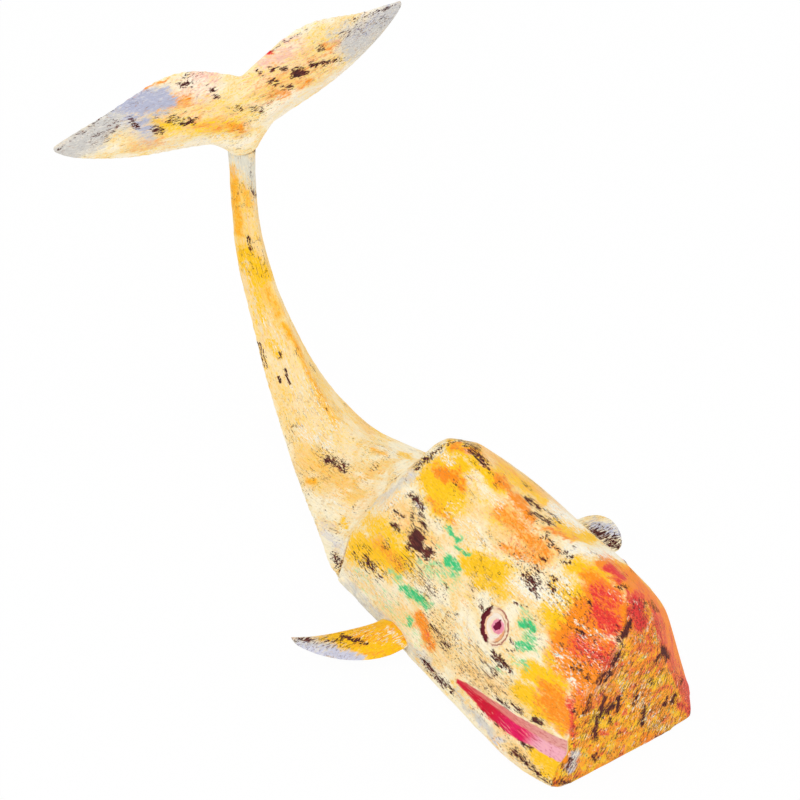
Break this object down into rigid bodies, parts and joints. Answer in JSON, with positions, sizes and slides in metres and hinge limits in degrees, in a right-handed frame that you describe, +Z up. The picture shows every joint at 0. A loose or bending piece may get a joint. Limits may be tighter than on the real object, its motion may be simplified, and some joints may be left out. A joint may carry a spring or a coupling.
{
  "type": "whale figurine",
  "caption": "Carved wooden whale with a blunt head, a tail curved up to spread flukes, small side flippers, ring-carved eyes, grooved mouth lines and a flat belly that it rests on.",
  "frame": {"origin": "on the surface it lies on, under the middle of the whole figure's length and width", "axes": "+X towards the head, +Y the whale's left, +Z up"},
  "size_m": [0.532, 0.312, 0.3232],
  "materials": {
    "trunk_paint": "eggshell",
    "tail_paint": "eggshell",
    "fluke_paint": "eggshell",
    "flipper_paint": "eggshell",
    "dowel_wood": "bare"
  },
  "bodies": {
    "root": {"head_and_trunk": "trunk_paint", "tail_stem": "tail_paint", "flukes": "fluke_paint", "right_flipper": "flipper_paint", "left_flipper": "flipper_paint", "right_tail_dowel": "dowel_wood", "left_tail_dowel": "dowel_wood", "fluke_dowel": "dowel_wood", "right_flipper_peg": "dowel_wood", "left_flipper_peg": "dowel_wood"}
  },
  "joints": []
}
